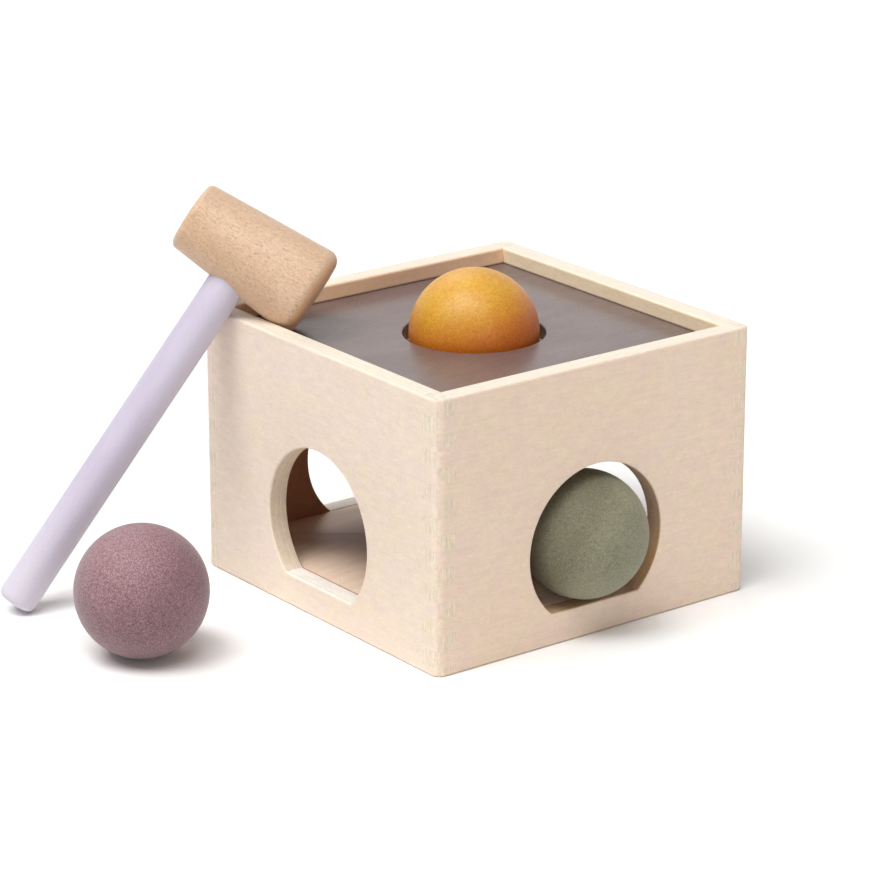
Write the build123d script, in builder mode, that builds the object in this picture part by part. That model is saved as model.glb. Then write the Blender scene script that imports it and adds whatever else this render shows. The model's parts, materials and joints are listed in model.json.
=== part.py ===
from build123d import *
from math import asin, cos, radians, sin, sqrt, tan
import os

# A ball pounding toy: a finger-jointed plywood box with a sunken lid that holds a ball in a rubber
# ring, two loose balls, and a mallet that leans on the box. Millimetres, +Z up.
# The origin is the middle of the box's footprint, on the table. The front is -Y and the left is -X.

# The box
box_side = 148.6
box_height = 106.0
wall_thickness = 8.3
corner_radius = 3.8
rim_radius = 1.0
cut_overrun = 5.0

# Finger joints, the same at all four corners
finger_pitch = 6.4
lowest_finger = 3.5
least_finger_share = 0.3

# The opening in each wall: a circle cut off by a flat sill
opening_radius = 31.2
opening_height = 35.7
sill_height = 12.4
opening_corner_radius = 1.2
opening_edge_radius = 0.8

# The sunken lid and its hole
plate_recess = 6.4
plate_thickness = 6.0
plate_play = 0.2
groove_depth = 3.0
hole_diameter = 54.5
hole_edge_radius = 0.8

# The rubber ring that holds the ball, and the board that traps it under the lid
ring_squeeze = 0.4
ring_outer_diameter = 66.0
ring_thickness = 3.0
ring_edge_radius = 0.5
ring_play = 0.3
holder_side = 92.0
holder_thickness = 6.0
holder_corner_radius = 6.0
holder_edge_radius = 0.8

# The countersunk screws of that board
screw_inset = 9.0
screw_diameter = 3.2
screw_head_diameter = 6.4
screw_sink_angle = 90.0
screw_grip = 3.5
screw_play = 0.05
screw_cross_width = 0.8
screw_cross_length = 3.6
screw_cross_depth = 1.2

# The bottom and the low pyramid on it
bottom_thickness = 4.0
ramp_play = 0.3
ramp_rise = 6.5
ramp_tip = 2.0

# The balls
ball_diameter = 50.0
rest_gap = 0.3
green_ball_diameter = 49.0
green_ball_inset = 7.8
plum_ball_distance = 46.4
plum_ball_shift = 10.6

# The mallet: a tapered head, and a handle that passes the head's axis in a blind socket
head_length = 56.8
head_narrow_diameter = 27.6
head_wide_diameter = 36.6
head_narrow_edge_radius = 2.5
head_wide_edge_radius = 4.5
handle_diameter = 15.0
handle_foot_radius = 3.0
handle_to_narrow_end = 26.0
handle_reach = 160.0
socket_past_axis = 6.0
socket_edge = 0.5

# How the mallet lies: where it crosses the rim, and how it is turned
rim_cross_inset = 15.1
handle_heading = -11.9
head_turn = 58.9
least_lean = 20.0
most_lean = 70.0
lean_trials = 40
outline_step = 2

# Places that follow from these sizes
half_side = box_side / 2
inner_half = half_side - wall_thickness
ball_radius = ball_diameter / 2
green_ball_radius = green_ball_diameter / 2
hole_radius = hole_diameter / 2
plate_top = box_height - plate_recess
plate_bottom = plate_top - plate_thickness
ring_bottom = plate_bottom - ring_thickness
ring_outer_radius = ring_outer_diameter / 2
ring_inner_radius = ball_radius - ring_squeeze
holder_bottom = plate_bottom - holder_thickness
screw_place = holder_side / 2 - screw_inset
screw_radius = screw_diameter / 2
screw_head_radius = screw_head_diameter / 2
screw_head_height = (screw_head_radius - screw_radius) / tan(radians(screw_sink_angle / 2))
panel_side = 2 * (inner_half + groove_depth)
handle_radius = handle_diameter / 2
finger_middle = inner_half + wall_thickness / 2
wall_names = ("front_wall", "right_wall", "back_wall", "left_wall")

os.makedirs("parts", exist_ok=True)


def wall_plane(number):
    """The inner face of a wall, counted round from the front: x along it, y up, z outward."""
    angle = radians(90 * (number - 1))
    outward = Vector(cos(angle), sin(angle), 0)
    return Plane(origin=outward * inner_half, x_dir=Vector(0, 0, 1).cross(outward), z_dir=outward)


def fingers():
    """The heights at which the fingers of a corner begin and end, from the table up."""
    levels = [0.0]
    level = lowest_finger
    while level < box_height - finger_pitch * least_finger_share:
        levels.append(level)
        level += finger_pitch
    levels.append(box_height)
    return list(zip(levels, levels[1:]))


# The box's shell, before it is cut into its four walls
with BuildPart() as shell:
    Box(box_side, box_side, box_height, align=(Align.CENTER, Align.CENTER, Align.MIN))
    fillet(edges().filter_by(Axis.Z), radius=corner_radius)
    with BuildSketch():
        Rectangle(2 * inner_half, 2 * inner_half)
    extrude(amount=box_height, mode=Mode.SUBTRACT)
    fillet(faces().sort_by(Axis.Z)[-1].edges(), radius=rim_radius)
    fillet(faces().sort_by(Axis.Z)[0].outer_wire().edges(), radius=rim_radius)
    with BuildSketch(Plane.XY.offset(plate_bottom)):
        Rectangle(panel_side, panel_side)
    extrude(amount=plate_thickness + plate_play, mode=Mode.SUBTRACT)
    with BuildSketch():
        Rectangle(panel_side, panel_side)
    extrude(amount=bottom_thickness, mode=Mode.SUBTRACT)
    for across in (Plane.XZ, Plane.YZ):
        with BuildSketch(across):
            with Locations((0, opening_height)):
                Circle(opening_radius)
            with Locations((0, sill_height)):
                Rectangle(
                    2 * opening_radius, opening_height, align=(Align.CENTER, Align.MAX), mode=Mode.SUBTRACT
                )
            fillet(vertices(), radius=opening_corner_radius)
        extrude(amount=half_side + cut_overrun, both=True, mode=Mode.SUBTRACT)


# The four walls: fingers of the front and back walls fit between those of the left and right walls
for number, name in enumerate(wall_names):
    with BuildPart() as wall:
        with BuildSketch(wall_plane(number)):
            Rectangle(2 * inner_half, box_height, align=(Align.CENTER, Align.MIN))
            for low, high in fingers()[1 - number % 2 :: 2]:
                with Locations((-finger_middle, low), (finger_middle, low)):
                    Rectangle(wall_thickness, high - low, align=(Align.CENTER, Align.MIN))
        extrude(amount=wall_thickness)
        add(shell.part, mode=Mode.INTERSECT)
        flat_faces = faces().filter_by(Axis(wall_plane(number).origin, wall_plane(number).z_dir))
        opening_wires = ShapeList(wire for face in flat_faces for wire in face.inner_wires())
        fillet(opening_wires.edges(), radius=opening_edge_radius)
    wall.part.label = name
    export_step(wall.part, f"parts/{name}.step")

# The sunken lid, which sits in a groove in all four walls
with BuildPart() as top_plate:
    with BuildSketch(Plane.XY.offset(plate_bottom)):
        Rectangle(panel_side - 2 * plate_play, panel_side - 2 * plate_play)
        Circle(hole_radius, mode=Mode.SUBTRACT)
    extrude(amount=plate_thickness)
    fillet(faces().sort_by(Axis.Z)[-1].inner_wires().edges(), radius=hole_edge_radius)
    with BuildSketch(Plane.XY.offset(plate_bottom)):
        with GridLocations(2 * screw_place, 2 * screw_place, 2, 2):
            Circle(screw_radius + screw_play)
    extrude(amount=screw_grip + screw_play, mode=Mode.SUBTRACT)
top_plate.part.label = "top_plate"
export_step(top_plate.part, "parts/top_plate.step")

# The board under the lid, with a recess for the ring and countersunk screw holes from below
with BuildPart() as ring_holder:
    with BuildSketch(Plane.XY.offset(holder_bottom)):
        RectangleRounded(holder_side, holder_side, holder_corner_radius)
        Circle(hole_radius, mode=Mode.SUBTRACT)
    extrude(amount=holder_thickness)
    fillet(faces().sort_by(Axis.Z)[0].edges(), radius=holder_edge_radius)
    with BuildSketch(Plane.XY.offset(ring_bottom)):
        Circle(ring_outer_radius + ring_play)
    extrude(amount=ring_thickness, mode=Mode.SUBTRACT)
    with Locations(Plane(origin=(0, 0, holder_bottom), z_dir=(0, 0, -1))):
        with GridLocations(2 * screw_place, 2 * screw_place, 2, 2):
            CounterSinkHole(
                radius=screw_radius + screw_play,
                counter_sink_radius=screw_head_radius + screw_play,
                depth=holder_thickness,
                counter_sink_angle=screw_sink_angle,
            )
ring_holder.part.label = "ring_holder"
export_step(ring_holder.part, "parts/ring_holder.step")

# The screws, points up: head flush with the board's underside
with BuildPart() as holder_screws:
    with GridLocations(2 * screw_place, 2 * screw_place, 2, 2):
        with Locations((0, 0, holder_bottom)):
            Cone(
                screw_head_radius,
                screw_radius,
                screw_head_height,
                align=(Align.CENTER, Align.CENTER, Align.MIN),
            )
            Cylinder(
                screw_radius,
                holder_thickness + screw_grip,
                align=(Align.CENTER, Align.CENTER, Align.MIN),
            )
            for turn in (0, 90):
                Box(
                    screw_cross_length,
                    screw_cross_width,
                    screw_cross_depth,
                    rotation=(0, 0, turn),
                    align=(Align.CENTER, Align.CENTER, Align.MIN),
                    mode=Mode.SUBTRACT,
                )
holder_screws.part.label = "holder_screws"
export_step(holder_screws.part, "parts/holder_screws.step")

# The rubber ring, a little smaller inside than the ball
with BuildPart() as grip_ring:
    with BuildSketch(Plane.XY.offset(ring_bottom)):
        Circle(ring_outer_radius)
        Circle(ring_inner_radius, mode=Mode.SUBTRACT)
    extrude(amount=ring_thickness)
    fillet(edges().filter_by(GeomType.CIRCLE).group_by(SortBy.RADIUS)[0], radius=ring_edge_radius)
grip_ring.part.label = "grip_ring"
export_step(grip_ring.part, "parts/grip_ring.step")

# The bottom, flush with the walls' lower edges in a rebate
with BuildPart() as bottom_panel:
    with BuildSketch():
        Rectangle(panel_side - 2 * plate_play, panel_side - 2 * plate_play)
    extrude(amount=bottom_thickness)
bottom_panel.part.label = "bottom_panel"
export_step(bottom_panel.part, "parts/bottom_panel.step")

# The low pyramid that sends a dropped ball out of one of the openings
ramp_half = inner_half - ramp_play
with BuildPart() as ball_ramp:
    with BuildSketch(Plane.XY.offset(bottom_thickness)):
        Rectangle(2 * ramp_half, 2 * ramp_half)
    extrude(amount=sill_height - bottom_thickness)
    with BuildSketch(Plane.XY.offset(sill_height)):
        Rectangle(2 * ramp_half, 2 * ramp_half)
    with BuildSketch(Plane.XY.offset(sill_height + ramp_rise)):
        Rectangle(ramp_tip, ramp_tip)
    loft(ruled=True)
ball_ramp.part.label = "ball_ramp"
export_step(ball_ramp.part, "parts/ball_ramp.step")

# The ball in the ring rests on the ring's rounded inner edge
ring_edge_reach = ball_radius + rest_gap + ring_edge_radius
ring_edge_run = ring_inner_radius + ring_edge_radius
yellow_ball_height = plate_bottom - ring_edge_radius + sqrt(ring_edge_reach**2 - ring_edge_run**2)
with BuildPart() as yellow_ball:
    with Locations((0, 0, yellow_ball_height)):
        Sphere(ball_radius)
yellow_ball.part.label = "yellow_ball"
export_step(yellow_ball.part, "parts/yellow_ball.step")

# The ball that has rolled out on to the front sill, a little smaller than the others
with BuildPart() as green_ball:
    with Locations((0, green_ball_inset - half_side, sill_height + rest_gap + green_ball_radius)):
        Sphere(green_ball_radius)
green_ball.part.label = "green_ball"
export_step(green_ball.part, "parts/green_ball.step")

# The ball on the table, left of the box
with BuildPart() as plum_ball:
    with Locations((-half_side - plum_ball_distance - ball_radius, plum_ball_shift, ball_radius)):
        Sphere(ball_radius)
plum_ball.part.label = "plum_ball"
export_step(plum_ball.part, "parts/plum_ball.step")

# The mallet's rounded ends: the middle of each edge's rounding along and across the head, and its radius
head_slope = asin((head_wide_diameter - head_narrow_diameter) / (2 * head_length))
narrow_across = head_narrow_diameter / 2 - head_narrow_edge_radius * (1 - sin(head_slope)) / cos(head_slope)
wide_across = head_wide_diameter / 2 - head_wide_edge_radius * (1 + sin(head_slope)) / cos(head_slope)
wide_along = head_length - handle_to_narrow_end - head_wide_edge_radius
head_rounds = (
    (head_narrow_edge_radius - handle_to_narrow_end, narrow_across, head_narrow_edge_radius),
    (wide_along, wide_across, head_wide_edge_radius),
)


def mallet_frame(lean):
    """The handle's foot and direction, and the head's middle and direction, for a lean in degrees."""
    heading = radians(handle_heading)
    turn = radians(head_turn)
    upright = cos(radians(lean))
    slant = sin(radians(lean))
    handle = Vector(slant * cos(heading), slant * sin(heading), upright)
    level = Vector(sin(heading), -cos(heading), 0)
    head = level * cos(turn) + handle.cross(level) * sin(turn)
    foot_height = handle_foot_radius * (1 - upright) + (handle_radius - handle_foot_radius) * slant
    # The handle lies against the rounded outer edge of the left wall's rim
    away = Vector(-handle.Z, 0, handle.X).normalized()
    rim_x = rim_radius - half_side
    rim_z = box_height - rim_radius
    foot_x = rim_x + (handle_radius + rim_radius + rest_gap - away.Z * (foot_height - rim_z)) / away.X
    cross_y = half_side - rim_cross_inset
    foot_y = cross_y - handle.Y * (box_height - foot_height) / handle.Z
    foot = Vector(foot_x, foot_y, foot_height)
    return foot, handle, foot + handle * handle_reach, head


def head_reach(lean, direction):
    """How far the head reaches along a direction."""
    middle, head = mallet_frame(lean)[2:]
    reaches = []
    for along, across, radius in head_rounds:
        spread = sqrt(1 - direction.dot(head) ** 2)
        reaches.append((middle + head * along).dot(direction) + across * spread + radius)
    return max(reaches)


def head_gap(lean):
    """The least gap of the head to the lid and to the rounded inner edge of the left wall's rim."""
    rim_edge = Vector(-inner_half - rim_radius, 0, box_height - rim_radius)
    rim_gaps = []
    for angle in range(180, 360, outline_step):
        direction = Vector(cos(radians(angle)), 0, sin(radians(angle)))
        rim_gaps.append(rim_edge.dot(direction) - head_reach(lean, direction))
    lid_gap = -plate_top - head_reach(lean, Vector(0, 0, -1))
    return min(max(rim_gaps) - rim_radius, lid_gap)


# The mallet leans just as far as its head's gap allows
low_lean, high_lean = least_lean, most_lean
for trial in range(lean_trials):
    middle_lean = (low_lean + high_lean) / 2
    if head_gap(middle_lean) > rest_gap:
        low_lean = middle_lean
    else:
        high_lean = middle_lean
handle_foot, handle_direction, head_middle, head_direction = mallet_frame(low_lean)

# The mallet's head: a frustum with rounded ends and a blind socket for the handle
profile_plane = Plane(
    origin=head_middle, x_dir=head_direction, z_dir=head_direction.cross(handle_direction)
)
with BuildPart() as hammer_head:
    with BuildSketch(profile_plane):
        with BuildLine():
            Polyline(
                (-handle_to_narrow_end, 0),
                (-handle_to_narrow_end, head_narrow_diameter / 2),
                (head_length - handle_to_narrow_end, head_wide_diameter / 2),
                (head_length - handle_to_narrow_end, 0),
                close=True,
            )
        make_face()
        fillet(vertices().sort_by(Axis.Y)[2], radius=head_narrow_edge_radius)
        fillet(vertices().sort_by(Axis.Y)[-1], radius=head_wide_edge_radius)
    revolve(axis=Axis(head_middle, head_direction))
    with BuildSketch(Plane(origin=head_middle + handle_direction * socket_past_axis, z_dir=-handle_direction)):
        Circle(handle_radius)
    extrude(amount=socket_past_axis + head_wide_diameter, mode=Mode.SUBTRACT)
hammer_head.part.label = "hammer_head"
export_step(hammer_head.part, "parts/hammer_head.step")

# The mallet's handle, from its rounded foot to the end of its socket
with BuildPart() as hammer_handle:
    with BuildSketch(Plane(origin=handle_foot, z_dir=handle_direction)):
        Circle(handle_radius)
    extrude(amount=handle_reach + socket_past_axis)
    ends = edges().filter_by(GeomType.CIRCLE).sort_by(Axis(handle_foot, handle_direction))
    fillet(ends[0], radius=handle_foot_radius)
    chamfer(ends[-1], length=socket_edge)
hammer_handle.part.label = "hammer_handle"
export_step(hammer_handle.part, "parts/hammer_handle.step")
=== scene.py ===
import json
import math

import bpy
from mathutils import Matrix, Vector

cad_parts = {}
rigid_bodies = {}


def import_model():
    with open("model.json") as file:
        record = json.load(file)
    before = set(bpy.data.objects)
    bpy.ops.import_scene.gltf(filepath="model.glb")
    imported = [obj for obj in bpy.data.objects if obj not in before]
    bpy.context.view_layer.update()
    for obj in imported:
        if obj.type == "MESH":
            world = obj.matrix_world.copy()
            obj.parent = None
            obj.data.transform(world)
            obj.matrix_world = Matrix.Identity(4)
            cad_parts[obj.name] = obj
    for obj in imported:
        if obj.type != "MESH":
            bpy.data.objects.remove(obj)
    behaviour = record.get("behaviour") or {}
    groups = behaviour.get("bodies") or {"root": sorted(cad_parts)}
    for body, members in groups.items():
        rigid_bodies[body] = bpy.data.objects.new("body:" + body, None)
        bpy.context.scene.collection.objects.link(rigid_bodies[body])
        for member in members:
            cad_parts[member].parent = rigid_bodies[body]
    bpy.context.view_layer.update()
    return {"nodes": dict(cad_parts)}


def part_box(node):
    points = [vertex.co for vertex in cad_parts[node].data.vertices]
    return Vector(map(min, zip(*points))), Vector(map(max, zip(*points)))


# A ball pounding toy: a finger-jointed birch box with a charcoal lid, stained wooden balls and a
# mallet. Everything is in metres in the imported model's frame. Patterns are worked out in
# millimetres.

for leftover in list(bpy.data.objects):
    bpy.data.objects.remove(leftover)
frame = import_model()
nodes = frame["nodes"]

MM = 0.001

# The box's sizes that the patterns follow, in millimetres
HALF_SIDE = 74.3
WALL = 8.3
INNER_HALF = HALF_SIDE - WALL
FINGER_PITCH = 6.4
LOWEST_FINGER = 3.5
LID_LEVEL = 99.6
OPENING_REACH = 50.0
SILL_REACH = 50.0
PLIES = 7

# The side that the window is on, and the mallet's directions
WINDOW_SIDE = Vector((-0.55, -0.25, 0.8)).normalized()
HANDLE_DIRECTION = Vector((0.6007, -0.1266, 0.7894)).normalized()
HEAD_DIRECTION = Vector((0.5548, -0.6449, -0.5256)).normalized()

# Where the handle's paint turns paler, in millimetres along it
FOOT_PALING_START = -104.0
FOOT_PALING_END = -35.0

# Where the ramp's painted shade in the middle starts to fade and ends, in millimetres from the
# box's middle
RAMP_FADE_START = 32.0
RAMP_FADE_END = 54.0

# A noise's detail and roughness
SOFT = (2.0, 0.5)
MILD = (3.0, 0.55)
FINE = (3.0, 0.6)
GRAINY = (3.0, 0.65)
HARSH = (3.0, 0.75)
CRISP = (4.0, 0.6)

# The values that most of a noise lies between, and the narrower ones that cut it into patches
NOISE_LOW, NOISE_HIGH = 0.3, 0.7
PATCH_LOW, PATCH_HIGH = 0.35, 0.65


def tone(red, green, blue):
    """A colour written in 0 to 255, as the linear values that Blender's sockets take."""
    linear = []
    for value in (red, green, blue):
        share = value / 255
        linear.append(share / 12.92 if share <= 0.04045 else ((share + 0.055) / 1.055) ** 2.4)
    return (*linear, 1.0)


# Birch: two sheets of veneer, the casts that drift over them, the tones of what is cut, and painted
# light and shade
LIGHT_SHEET = (tone(243, 228, 214), tone(241, 226, 210))
WARM_SHEET = (tone(242, 221, 203), tone(241, 219, 199))
YELLOW_CAST = tone(255, 254, 246)
PINK_CAST = tone(255, 250, 251)
END_CREAM = tone(240, 229, 207)
SANDED_PALE = tone(241, 230, 214)
# Painted light and shade: the inner faces' tones above and below the lid, and the cheeks' tint
LIGHT_INNER = tone(255, 238, 206)
WARM_INNER = tone(255, 217, 181)
UNDER_LID_SHADE_TINT = tone(188, 146, 116)
CHEEK_SHADE_TINT = tone(205, 170, 130)
GLUE_BROWN = tone(164, 138, 108)
JOINT_BROWN = tone(138, 110, 86)

# What the front and back walls share, what the side walls share, and the two kinds of opening:
# painted shade on the cheeks with a painted shade sill, and fainter painted shade on the cheeks
# with a painted light sill
FRONT_AND_BACK = {
    "thickness_axis": 1, "own_first": False,
    "sheet": WARM_SHEET, "next_sheet": LIGHT_SHEET, "inner_tone": WARM_INNER,
}
SIDES = {
    "thickness_axis": 0, "own_first": True,
    "sheet": LIGHT_SHEET, "next_sheet": WARM_SHEET, "inner_tone": LIGHT_INNER,
}
SHADED_OPENING = {"cheek_shade_shares": (0.4, 0.9), "painted_sill_tone": tone(214, 172, 134)}
LIT_OPENING = {"cheek_shade_shares": (0.18, 0.15), "painted_sill_tone": tone(255, 248, 240)}

# The other pieces' tones
BEECH = (tone(221, 189, 160), tone(212, 176, 144))
BEECH_FLECK = tone(176, 122, 90)
BEECH_END_GRAIN_AND_SHADE = tone(238, 186, 140)
LILAC = (tone(206, 200, 217), tone(197, 188, 208))
PALER_LILAC = tone(219, 213, 224)
CHARCOAL = (tone(114, 97, 95), tone(106, 88, 85))
RUBBED_CHARCOAL = tone(150, 136, 130)
RAMP = (tone(240, 212, 188), tone(247, 222, 200))
RAMP_MIDDLE_SHADE = tone(144, 80, 54)
HOLDER = (tone(206, 178, 145), tone(221, 196, 164))
BOTTOM = (tone(210, 184, 152), tone(224, 200, 169))
RUBBER = (tone(214, 188, 150), tone(200, 172, 132))
STEEL = (tone(176, 177, 180), tone(196, 196, 199))
WHITE = (1.0, 1.0, 1.0)


class Recipe:
    """The node tree of a material or world, with short calls for the nodes that recipes share."""

    def __init__(self, owner):
        self.owner = owner
        owner.use_nodes = True
        self.tree = owner.node_tree
        self.tree.nodes.clear()

    def fill(self, socket, value):
        """A socket takes a value, or a link from another node's output."""
        if isinstance(value, bpy.types.NodeSocket):
            self.tree.links.new(value, socket)
        else:
            socket.default_value = value

    def add(self, kind, inputs, output=0, **settings):
        """An output of a new node with its settings and inputs."""
        node = self.tree.nodes.new(kind)
        for name, value in settings.items():
            setattr(node, name, value)
        for key, value in inputs.items():
            self.fill(node.inputs[key], value)
        return node.outputs[output]

    def math(self, operation, first, second=0.0, third=0.0):
        return self.add("ShaderNodeMath", {0: first, 1: second, 2: third}, operation=operation)

    def times(self, first, second):
        return self.math("MULTIPLY", first, second)

    def plus(self, base, value, factor):
        """A base plus a factor times a value."""
        return self.math("MULTIPLY_ADD", value, factor, base)

    def apart(self, first, second):
        """How far two values are apart."""
        return self.math("ABSOLUTE", self.math("SUBTRACT", first, second))

    def held(self, value, low, high):
        """A value held between two others."""
        return self.math("MINIMUM", self.math("MAXIMUM", value, low), high)

    def vector(self, operation, first, second=(0.0, 0.0, 0.0)):
        output = "Value" if operation == "DOT_PRODUCT" else "Vector"
        return self.add("ShaderNodeVectorMath", {0: first, 1: second}, output, operation=operation)

    def parts(self, vector):
        """A vector's three parts."""
        node = self.tree.nodes.new("ShaderNodeSeparateXYZ")
        self.fill(node.inputs[0], vector)
        return node.outputs

    def millimetres(self):
        """The place on the piece in millimetres."""
        place = self.add("ShaderNodeTexCoord", {}, "Object")
        return self.vector("MULTIPLY", place, (1 / MM, 1 / MM, 1 / MM))

    def facing(self):
        """The direction that the surface faces."""
        return self.add("ShaderNodeTexCoord", {}, "Normal")

    def turned(self, place, along, middle=(0.0, 0.0, 0.0)):
        """The place measured from a middle in turned axes, with the last one along a direction."""
        along = Vector(along).normalized()
        side = along.orthogonal().normalized()
        place = self.vector("SUBTRACT", place, tuple(middle))
        axes = (side, along.cross(side), along)
        parts = [self.vector("DOT_PRODUCT", place, tuple(axis)) for axis in axes]
        return self.add("ShaderNodeCombineXYZ", dict(enumerate(parts)))

    def noise(self, place, stretch, texture, offset=(0.0, 0.0, 0.0), warp=0.0):
        """Noise from 0 to 1, with its features per millimetre along each axis."""
        mapping = {"Vector": place, "Scale": stretch, "Location": offset}
        detail, rough = texture
        return self.add("ShaderNodeTexNoise", {
            "Vector": self.add("ShaderNodeMapping", mapping),
            "Scale": 1.0, "Detail": detail, "Roughness": rough, "Distortion": warp,
        }, "Fac")

    def span(self, value, low, high, out_low=0.0, out_high=1.0, kind="SMOOTHSTEP"):
        """A value mapped from one span to another, held at its ends."""
        names = ("Value", "From Min", "From Max", "To Min", "To Max")
        inputs = dict(zip(names, (value, low, high, out_low, out_high)))
        return self.add("ShaderNodeMapRange", inputs, interpolation_type=kind)

    def falls(self, value, low, high):
        """1 under a span and 0 over it."""
        return self.span(value, low, high, 1.0, 0.0)

    def patches(self, noise):
        """A noise cut into patches of 0 and 1 with soft edges."""
        return self.span(noise, PATCH_LOW, PATCH_HIGH)

    def evenly(self, noise, low, high):
        """A noise spread evenly from one value to another."""
        return self.span(noise, NOISE_LOW, NOISE_HIGH, low, high, "LINEAR")

    def varied(self, level, *swings):
        """A level with each noise's swing about its middle added, times an amount."""
        for noise, amount in swings:
            level = self.plus(level, self.math("SUBTRACT", noise, 0.5), amount)
        return level

    def mix(self, share, first, second, blend="MIX"):
        """Two colours mixed by a share from 0 to 1."""
        node = self.tree.nodes.new("ShaderNodeMix")
        node.data_type = "RGBA"
        node.blend_type = blend
        for index, value in ((0, share), (6, first), (7, second)):
            self.fill(node.inputs[index], value)
        return node.outputs[2]

    def tinted(self, colour, tint):
        """A colour times another."""
        return self.mix(1.0, colour, tint, "MULTIPLY")

    def grey(self, level):
        return self.add("ShaderNodeCombineColor", {0: level, 1: level, 2: level})

    def shaded(self, colour, level):
        """A colour times a level."""
        return self.tinted(colour, self.grey(level))

    def bump(self, height, distance):
        """A surface normal from a height of 0 to 1, over a distance in millimetres."""
        inputs = {"Height": height, "Distance": distance * MM, "Strength": 1.0}
        return self.add("ShaderNodeBump", inputs)

    def finish(self, colour, roughness, normal, **values):
        """The shader, linked to the material's output, and the material."""
        inputs = {"Base Color": colour, "Roughness": roughness}
        inputs.update({name.replace("_", " "): value for name, value in values.items()})
        inputs["Normal"] = normal
        self.put_out(self.add("ShaderNodeBsdfPrincipled", inputs), "ShaderNodeOutputMaterial")
        return self.owner

    def put_out(self, shader, kind):
        self.fill(self.tree.nodes.new(kind).inputs["Surface"], shader)


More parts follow.
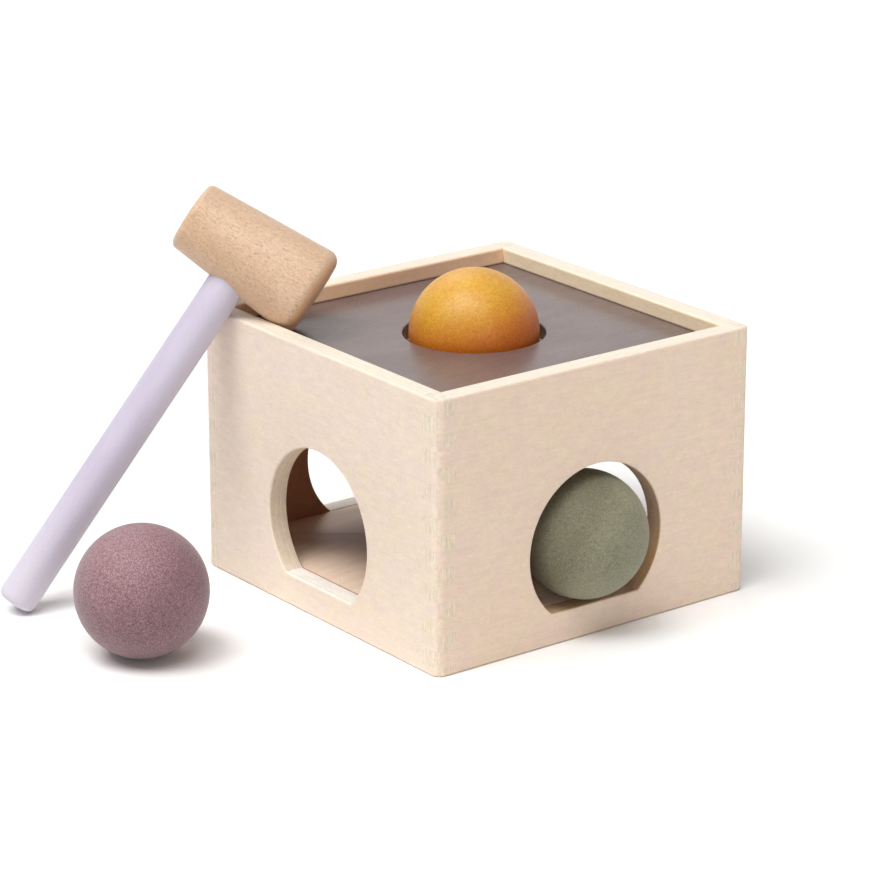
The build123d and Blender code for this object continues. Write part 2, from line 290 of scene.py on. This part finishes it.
def birch(name, outward, offset, thickness_axis, own_first, sheet, next_sheet, inner_tone,
          cheek_shade_shares, painted_sill_tone):
    """Birch plywood for one wall: veneer on its faces, plies on its edges, lines at its joints."""
    r = Recipe(bpy.data.materials.new(name))
    axes = r.parts(r.millimetres())
    along = axes[1 - thickness_axis]
    up = axes[2]
    depth = r.math("SUBTRACT", HALF_SIDE, r.times(axes[thickness_axis], outward))
    local = r.add("ShaderNodeCombineXYZ", {0: along, 1: depth, 2: up})
    facing = r.parts(r.facing())
    facing_along = r.math("ABSOLUTE", facing[1 - thickness_axis])
    facing_out = r.math("ABSOLUTE", facing[thickness_axis])
    facing_up = facing[2]
    end = r.math("ABSOLUTE", along)
    in_joint = r.math("GREATER_THAN", end, INNER_HALF)
    finger_end = r.times(r.span(facing_along, 0.35, 0.9), in_joint)

    # Veneer: short pale and dark streaks along the wall, blotches, fine fibres and pores, with a
    # slow change of tone and cast. Cut edges are creamier
    streaks = r.noise(local, (0.09, 0.9, 0.7), CRISP, offset)
    blotches = r.noise(local, (0.2, 0.4, 0.33), FINE, offset)
    fibres = r.noise(local, (0.6, 2.0, 3.0), FINE, offset)
    clouds = r.patches(r.noise(local, (0.018, 0.05, 0.028), SOFT, offset))
    pores = r.span(r.noise(local, (0.35, 3.0, 4.5), SOFT, offset), 0.64, 0.74)
    drift = r.noise(local, (0.07, 0.12, 0.1), FINE, (*offset[1:], offset[0]))
    level = r.varied(1.0, (streaks, 0.2), (blotches, 0.19), (fibres, 0.34))
    level = r.plus(level, pores, -0.03)
    veneer = r.mix(finger_end, r.mix(clouds, *sheet), r.mix(clouds, *next_sheet))
    cut = r.falls(facing_out, 0.3, 0.7)
    veneer = r.mix(r.times(cut, 0.45), veneer, END_CREAM)
    veneer = r.tinted(veneer, r.mix(r.span(drift, 0.32, 0.68), YELLOW_CAST, PINK_CAST))

    # Painted light and shade inside: a flat tone above the lid, a deeper brown painted shade below
    # it, and a painted shade line where the lid meets the walls
    inner = r.times(r.span(facing_out, 0.3, 0.7), r.math("GREATER_THAN", depth, WALL / 2))
    shade_under_lid = r.falls(up, LID_LEVEL - 4.0, LID_LEVEL + 1.0)
    at_lid = r.span(r.apart(up, LID_LEVEL), 0.25, 0.9, 0.5, 1.0)
    inner_painted = r.mix(shade_under_lid, inner_tone, r.tinted(veneer, UNDER_LID_SHADE_TINT))
    veneer = r.mix(inner, veneer, r.shaded(inner_painted, at_lid))

    # Plies: cross-grained layers are a little darker, with patchy glue lines between them
    waver = r.math("SUBTRACT", r.noise(local, (0.03, 0.0, 0.05), SOFT, offset), 0.5)
    inside = r.held(depth, 0.3, WALL - 0.3)
    layer = r.math("DIVIDE", r.plus(inside, waver, 0.35), WALL / PLIES)
    cross = r.math("FLOOR", r.math("MODULO", layer, 2.0))
    glue = r.span(r.apart(r.math("FRACT", layer), 0.5), 0.38, 0.48)
    patchy = r.noise(local, (0.16, 0.9, 0.5), SOFT, offset)
    glue = r.times(glue, r.span(patchy, 0.40, 0.62, 0.1, 1.0))
    end_grain = r.noise(local, (2.2, 2.2, 0.9), SOFT, offset)
    level = r.plus(level, cross, r.span(end_grain, NOISE_LOW, NOISE_HIGH, -0.07, -0.02))

    # The finger ends are sanded flush: short pale and dark strokes run up them
    strokes = r.noise(local, (0.9, 1.5, 0.22), FINE, offset, warp=0.3)
    level = r.varied(level, (strokes, r.times(finger_end, 0.55)))

    # The rim's top and the sills are sanded too. The sills' own tone is painted light on most walls
    # and painted shade on the front. The cheeks get painted shade, browner by one share at the top
    # and another beside the sill
    sanded = r.span(facing_up, 0.6, 0.95)
    pale = r.mix(r.math("LESS_THAN", up, SILL_REACH), SANDED_PALE, painted_sill_tone)
    cheek_shade = r.times(cut, r.math("LESS_THAN", end, OPENING_REACH))
    cheek_shade = r.times(cheek_shade, r.span(facing_up, -0.6, 0.4, *cheek_shade_shares))
    cheek_shade = r.times(cheek_shade, r.math("SUBTRACT", 1.0, sanded))
    glue_share = r.plus(0.42, r.math("MAXIMUM", sanded, finger_end), -0.25)
    glue_share = r.times(glue, r.plus(glue_share, cheek_shade, 0.5))

    # Joint lines: at the ends of the other walls' fingers, and fainter between the fingers
    row = r.math("DIVIDE", r.math("SUBTRACT", up, LOWEST_FINGER), FINGER_PITCH)
    whose = r.math("FLOORED_MODULO", r.math("FLOOR", row), 2.0)
    others = r.math("COMPARE", whose, 0.0 if own_first else 1.0, 0.1)
    at_end = r.math("COMPARE", end, INNER_HALF, 0.25)
    at_row_edge = r.math("GREATER_THAN", r.apart(r.math("FRACT", row), 0.5), 0.475)
    wear = r.span(r.noise(local, (0.4, 0.4, 0.3), SOFT, offset), 0.47, 0.66)
    between = r.times(r.times(at_row_edge, in_joint), r.times(wear, 0.4))
    seam = r.math("MAXIMUM", r.times(r.times(others, at_end), wear), between)

    # Painted shade: the cheeks are tinted browner
    veneer = r.mix(cheek_shade, veneer, r.tinted(veneer, CHEEK_SHADE_TINT))
    colour = r.shaded(r.mix(r.times(sanded, 0.9), veneer, pale), level)
    colour = r.mix(glue_share, colour, GLUE_BROWN)
    colour = r.mix(r.times(seam, 0.36), colour, JOINT_BROWN)
    height = r.plus(r.plus(r.plus(streaks, fibres, 0.5), glue, -0.5), seam, -1.0)
    rough = r.evenly(fibres, 0.52, 0.62)
    return r.finish(colour, rough, r.bump(height, 0.05), Specular_IOR_Level=0.35)


def stained_ball(name, middle, along, dark, light, fleck, fleck_share, specular, least_rough, sheen,
                 speckle, painted_light_from, painted_shade_span, painted_shade_tint):
    """Stained wood on a turned ball: clouds, worm-like grain, fibres, pores, rubbed flecks and
    painted shade.
    """
    r = Recipe(bpy.data.materials.new(name))
    place = r.turned(r.millimetres(), along, middle)
    mottle = r.noise(place, (0.5, 0.5, 0.3), (4.0, 0.65), (4.0, 1.0, 6.0))
    fibres = r.noise(place, (1.5, 1.5, 0.3), CRISP)
    clouds = r.noise(place, (0.06, 0.06, 0.03), SOFT)
    worms = r.noise(place, (1.5, 1.5, 1.1), HARSH, (1.0, 5.0, 2.0), warp=1.2)
    grit = r.noise(place, (2.6, 2.6, 2.0), (2.0, 0.6), (8.0, 2.0, 3.0), warp=0.6)
    pores = r.span(r.noise(place, (2.2, 2.2, 0.9), SOFT, (7.0, 3.0, 1.0)), 0.58, 0.70)
    rubbed = r.noise(place, (2.2, 2.2, 1.6), HARSH, (2.0, 9.0, 4.0), warp=1.0)
    share = r.varied(0.5, (fibres, 0.5), (clouds, 0.8), (mottle, 1.0), (worms, 1.6 * speckle))
    level = r.varied(1.0, (worms, 0.7 * speckle), (grit, speckle))
    level = r.plus(level, pores, -0.25 * speckle)
    colour = r.shaded(r.mix(r.held(share, 0.0, 1.0), dark, light), level)
    colour = r.mix(r.times(r.span(rubbed, 0.49, 0.62), fleck_share), colour, fleck)

    # Painted shade: darker and deeper in tone on the side turned from a direction, where less light
    # falls
    direction = tuple(Vector(painted_light_from).normalized())
    towards = r.vector("DOT_PRODUCT", r.facing(), direction)
    colour = r.mix(r.falls(towards, *painted_shade_span), colour, r.tinted(colour, painted_shade_tint))
    height = r.plus(worms, pores, -0.6)
    rough = r.evenly(fibres, least_rough, least_rough + 0.1)
    return r.finish(colour, rough, r.bump(height, 0.06),
                    Specular_IOR_Level=specular, Sheen_Weight=sheen)


def beech(name):
    """Natural beech with short dark flecks along the head, warmer at its wide end: its end grain,
    with painted shade.
    """
    r = Recipe(bpy.data.materials.new(name))
    place = r.turned(r.millimetres(), HEAD_DIRECTION)
    lines = r.noise(place, (0.75, 0.5, 0.04), CRISP)
    fibres = r.noise(place, (2.0, 2.0, 0.3), FINE)
    speckle = r.noise(place, (1.3, 1.3, 0.8), GRAINY, (3.0, 6.0, 1.0), warp=0.6)
    clouds = r.noise(place, (0.05, 0.05, 0.03), SOFT)
    flecks = r.noise(place, (2.0, 2.2, 0.65), (2.0, 0.55), (5.0, 2.0, 8.0))
    flecks = r.span(flecks, 0.57, 0.67)
    level = r.varied(1.0, (lines, 0.16), (fibres, 0.34), (speckle, 0.62))
    colour = r.shaded(r.mix(r.patches(clouds), *BEECH), level)
    colour = r.mix(r.times(flecks, 0.55), colour, BEECH_FLECK)
    # Warmer towards the wide end: end grain, with painted shade on the end turned from the light
    towards_end = r.vector("DOT_PRODUCT", r.facing(), tuple(HEAD_DIRECTION))
    colour = r.mix(r.span(towards_end, 0.2, 0.8, 0.0, 0.7), colour, BEECH_END_GRAIN_AND_SHADE)
    height = r.plus(fibres, flecks, -0.7)
    rough = r.evenly(fibres, 0.46, 0.58)
    return r.finish(colour, rough, r.bump(height, 0.06), Specular_IOR_Level=0.4, Sheen_Weight=0.2)


def lilac_paint(name):
    """Matte lilac paint over the handle's grain, paler towards the foot."""
    r = Recipe(bpy.data.materials.new(name))
    place = r.turned(r.millimetres(), HANDLE_DIRECTION)
    grain = r.noise(place, (0.9, 0.9, 0.035), CRISP)
    speckle = r.noise(place, (1.6, 1.6, 0.7), MILD)
    clouds = r.noise(place, (0.06, 0.06, 0.02), SOFT)
    level = r.varied(1.0, (grain, 0.1), (speckle, 0.14))
    near_foot = r.span(r.parts(place)[2], FOOT_PALING_START, FOOT_PALING_END, 0.7, 0.0)
    colour = r.mix(near_foot, r.mix(r.patches(clouds), *LILAC), PALER_LILAC)
    height = r.plus(speckle, grain, 0.8)
    rough = r.evenly(speckle, 0.5, 0.6)
    return r.finish(r.shaded(colour, level), rough, r.bump(height, 0.05),
                    Specular_IOR_Level=0.4, Sheen_Weight=0.2)


def charcoal(name):
    """The lid's charcoal stain on plywood, satin, with a fine grain and rubbed marks."""
    r = Recipe(bpy.data.materials.new(name))
    place = r.millimetres()
    grain = r.noise(place, (0.05, 0.8, 0.8), CRISP)
    fibres = r.noise(place, (0.5, 2.4, 2.4), FINE)
    speckle = r.noise(place, (0.9, 1.3, 1.0), GRAINY, (2.0, 4.0, 6.0))
    clouds = r.noise(place, (0.03, 0.045, 0.03), MILD)
    rubbing = r.turned(place, (0.85, 0.53, 0.0))
    marks = r.noise(rubbing, (0.5, 1.0, 0.03), (3.0, 0.5), (3.0, 8.0, 2.0))
    marks = r.span(marks, 0.66, 0.72)
    level = r.varied(1.0, (grain, 0.3), (fibres, 0.5), (speckle, 0.5))
    colour = r.shaded(r.mix(r.patches(clouds), *CHARCOAL), level)
    colour = r.mix(r.times(marks, 0.12), colour, RUBBED_CHARCOAL)
    height = r.plus(grain, fibres, 0.6)
    rough = r.plus(r.evenly(clouds, 0.2, 0.27), marks, -0.05)
    return r.finish(colour, rough, r.bump(height, 0.03), Specular_IOR_Level=0.45)


def ramp_wood(name):
    """The ramp inside: smooth satin wood, with painted shade darkening its middle, away from the
    openings.
    """
    r = Recipe(bpy.data.materials.new(name))
    place = r.millimetres()
    reach = r.parts(r.vector("ABSOLUTE", place))
    reach = r.math("MAXIMUM", reach[0], reach[1])
    # Painted shade: darker towards the middle, away from the light through the openings
    middle = r.falls(reach, RAMP_FADE_START, RAMP_FADE_END)
    grain = r.noise(place, (0.05, 0.3, 0.3), MILD)
    speckle = r.noise(place, (0.8, 1.2, 1.0), FINE, (5.0, 1.0, 3.0))
    colour = r.mix(middle, r.mix(r.patches(grain), *RAMP), RAMP_MIDDLE_SHADE)
    colour = r.shaded(colour, r.varied(1.0, (speckle, 0.14)))
    rough = r.evenly(speckle, 0.44, 0.52)
    return r.finish(colour, rough, r.bump(speckle, 0.02), Specular_IOR_Level=0.3)


def board(name, along, tones):
    """Plain unfinished board, with its grain along a direction."""
    r = Recipe(bpy.data.materials.new(name))
    place = r.turned(r.millimetres(), along)
    grain = r.noise(place, (0.28, 0.7, 0.02), CRISP, warp=0.4)
    fibres = r.noise(place, (2.2, 2.2, 0.2), FINE)
    colour = r.shaded(r.mix(r.patches(grain), *tones), r.varied(1.0, (fibres, 0.14)))
    rough = r.evenly(fibres, 0.6, 0.72)
    return r.finish(colour, rough, r.bump(fibres, 0.05), Specular_IOR_Level=0.3)


def rubber(name):
    """Natural rubber, with fine mottling and a dull skin."""
    r = Recipe(bpy.data.materials.new(name))
    mottle = r.noise(r.millimetres(), (0.5, 0.5, 0.5), CRISP)
    colour = r.mix(r.patches(mottle), *RUBBER)
    rough = r.evenly(mottle, 0.62, 0.75)
    return r.finish(colour, rough, r.bump(mottle, 0.04), Specular_IOR_Level=0.35)


def screw_steel(name):
    """Bright steel, with fine turned marks about each screw."""
    r = Recipe(bpy.data.materials.new(name))
    turning = r.noise(r.millimetres(), (0.8, 0.8, 9.0), FINE)
    colour = r.mix(r.span(turning, NOISE_LOW, NOISE_HIGH), *STEEL)
    rough = r.evenly(turning, 0.28, 0.42)
    return r.finish(colour, rough, r.bump(turning, 0.01), Metallic=1.0)


def put_on(name, material):
    """The material takes the place of the node's own."""
    for slot in nodes[name].material_slots:
        slot.material = material


def middle_mm(name):
    """The middle of a node in millimetres."""
    low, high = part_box(name)
    return (Vector(low) + Vector(high)) / 2 / MM


put_on("front_wall", birch("birch_front", -1, (3.0, 11.0, 5.0), **FRONT_AND_BACK, **SHADED_OPENING))
put_on("back_wall", birch("birch_back", 1, (31.0, 7.0, 15.0), **FRONT_AND_BACK, **LIT_OPENING))
put_on("left_wall", birch("birch_left", -1, (57.0, 4.0, 9.0), **SIDES, **LIT_OPENING))
put_on("right_wall", birch("birch_right", 1, (83.0, 2.0, 21.0), **SIDES, **LIT_OPENING))
put_on("top_plate", charcoal("charcoal_lid"))
put_on("grip_ring", rubber("natural_rubber_ring"))
put_on("ring_holder", board("holder_board", (1, 0, 0), HOLDER))
put_on("bottom_panel", board("bottom_board", (0, 1, 0), BOTTOM))
put_on("ball_ramp", ramp_wood("ramp_wood"))
put_on("holder_screws", screw_steel("screw_steel_turned"))
put_on("hammer_head", beech("beech_head"))
put_on("hammer_handle", lilac_paint("lilac_handle"))
# Each ball's last three values set its painted shade: the direction it is lit from, the span and
# the tint
put_on("yellow_ball", stained_ball(
    "mustard_ball", middle_mm("yellow_ball"), along=(-0.62, -0.70, 0.35),
    dark=tone(199, 131, 14), light=tone(230, 179, 50), fleck=tone(244, 202, 104), fleck_share=0.18,
    specular=0.5, least_rough=0.36, sheen=0.04, speckle=0.8,
    painted_light_from=(-0.3, 0.0, 0.95), painted_shade_span=(0.1, 0.85), painted_shade_tint=tone(244, 172, 112),
))
put_on("green_ball", stained_ball(
    "sage_ball", middle_mm("green_ball"), along=(0.45, -0.5, 0.74),
    dark=tone(124, 124, 97), light=tone(152, 149, 126), fleck=tone(172, 168, 148), fleck_share=0.24,
    specular=0.2, least_rough=0.52, sheen=0.12, speckle=1.1,
    painted_light_from=(0.8, -0.6, -0.5), painted_shade_span=(-0.25, 0.2), painted_shade_tint=tone(222, 218, 216),
))
put_on("plum_ball", stained_ball(
    "plum_ball_stain", middle_mm("plum_ball"), along=(0.2, -0.5, 0.84),
    dark=tone(122, 87, 95), light=tone(150, 113, 121), fleck=tone(218, 182, 172), fleck_share=0.44,
    specular=0.45, least_rough=0.52, sheen=0.25, speckle=2.1,
    painted_light_from=WINDOW_SIDE, painted_shade_span=(0.5, 0.97), painted_shade_tint=tone(230, 224, 230),
))

# The floor: white paper, bright enough to show as plain white away from the shadows
FLOOR_HALF = 4.0
FLOOR_DROP = 0.0001
FLOOR_TONE = 0.95
FLOOR_SEEN = 1.03
FLOOR_CORNERS = ((-1, -1), (1, -1), (1, 1), (-1, 1))
floor_mesh = bpy.data.meshes.new("floor")
corners = [(x * FLOOR_HALF, y * FLOOR_HALF, -FLOOR_DROP) for x, y in FLOOR_CORNERS]
floor_mesh.from_pydata(corners, [], [(0, 1, 2, 3)])
floor = bpy.data.objects.new("floor", floor_mesh)
bpy.context.scene.collection.objects.link(floor)
paper = Recipe(bpy.data.materials.new("white_paper"))
seen = paper.add("ShaderNodeLightPath", {}, "Is Camera Ray")
paper_tone = paper.grey(paper.span(seen, 0.0, 1.0, FLOOR_TONE, FLOOR_SEEN, "LINEAR"))
paper.put_out(paper.add("ShaderNodeBsdfDiffuse", {"Color": paper_tone}), "ShaderNodeOutputMaterial")
floor_mesh.materials.append(paper.owner)

# The world: a white room, brighter overhead and on two sides, which the camera and reflections see
# as plain white
ROOM_LOW = 0.05
ROOM_OVERHEAD = 0.05
ROOM_FRONT = 0.02
ROOM_LEFT = 0.16
room = Recipe(bpy.data.worlds.new("white_room"))
bpy.context.scene.world = room.owner
direction = room.parts(room.add("ShaderNodeTexCoord", {}, "Generated"))
glow = room.plus(ROOM_LOW, room.math("MAXIMUM", direction[2], 0.0), ROOM_OVERHEAD)
for axis, amount in ((0, ROOM_LEFT), (1, ROOM_FRONT)):
    glow = room.plus(glow, room.math("MAXIMUM", room.times(direction[axis], -1.0), 0.0), amount)
path = room.add("ShaderNodeLightPath", {}).node.outputs
white = path["Is Camera Ray"]
for ray in ("Is Glossy Ray", "Is Transmission Ray"):
    white = room.math("MAXIMUM", white, path[ray])
strength = room.plus(white, glow, room.math("SUBTRACT", 1.0, white))
background = room.add("ShaderNodeBackground", {"Color": (*WHITE, 1.0), "Strength": strength})
room.put_out(background, "ShaderNodeOutputWorld")


def soft_sun(name, elevation, heading, strength, spread, colour=WHITE):
    """A large soft light, by the height it comes from and the heading its rays travel along."""
    sun = bpy.data.lights.new(name, "SUN")
    sun.energy = strength
    sun.angle = math.radians(spread)
    sun.color = colour
    lamp = bpy.data.objects.new(name, sun)
    bpy.context.scene.collection.objects.link(lamp)
    fall, turn = math.radians(elevation), math.radians(heading)
    flat = math.cos(fall)
    travel = Vector((flat * math.cos(turn), flat * math.sin(turn), -math.sin(fall)))
    lamp.rotation_euler = travel.to_track_quat("-Z", "Y").to_euler()


# The main light is large and high on the left. The others fill from above, from the camera's side
# and from behind
soft_sun("window", 64.0, -10.0, strength=2.12, spread=36.0, colour=(1.0, 0.985, 0.965))
soft_sun("overhead_fill", 68.0, 60.0, strength=1.04, spread=30.0)
soft_sun("front_fill", 12.0, 75.0, strength=0.36, spread=30.0)
soft_sun("back_fill", 42.0, -108.0, strength=0.42, spread=24.0)

# The camera, at the photograph's angle
AZIMUTH = -37.17
ELEVATION = 18.891
ROLL = -0.086
DISTANCE = 1433.1
SHIFT_RIGHT = -14.968
SHIFT_UP = 9.879
TARGET = Vector((0.0, 0.0, 47.45))
FOCAL_PIXELS = 3726.0
FRAME_PIXELS = 870.0
SENSOR = 36.0
NEAREST = 0.01
FURTHEST = 100.0
azimuth, elevation, roll = (math.radians(angle) for angle in (AZIMUTH, ELEVATION, ROLL))
flat = math.cos(elevation)
back = Vector((math.sin(azimuth) * flat, -math.cos(azimuth) * flat, math.sin(elevation)))
right = Vector((math.cos(azimuth), math.sin(azimuth), 0.0))
up = back.cross(right)
right, up = (
    right * math.cos(roll) + up * math.sin(roll),
    up * math.cos(roll) - right * math.sin(roll),
)
lens = bpy.data.cameras.new("camera")
lens.sensor_width = SENSOR
lens.lens = SENSOR * FOCAL_PIXELS / FRAME_PIXELS
lens.clip_start = NEAREST
lens.clip_end = FURTHEST
camera = bpy.data.objects.new("camera", lens)
bpy.context.scene.collection.objects.link(camera)
place = (TARGET + back * DISTANCE + right * SHIFT_RIGHT + up * SHIFT_UP) * MM
turn = Matrix((right, up, back)).transposed()
camera.matrix_world = Matrix.Translation(place) @ turn.to_4x4()
bpy.context.scene.camera = camera
bpy.context.scene.view_settings.view_transform = "Standard"
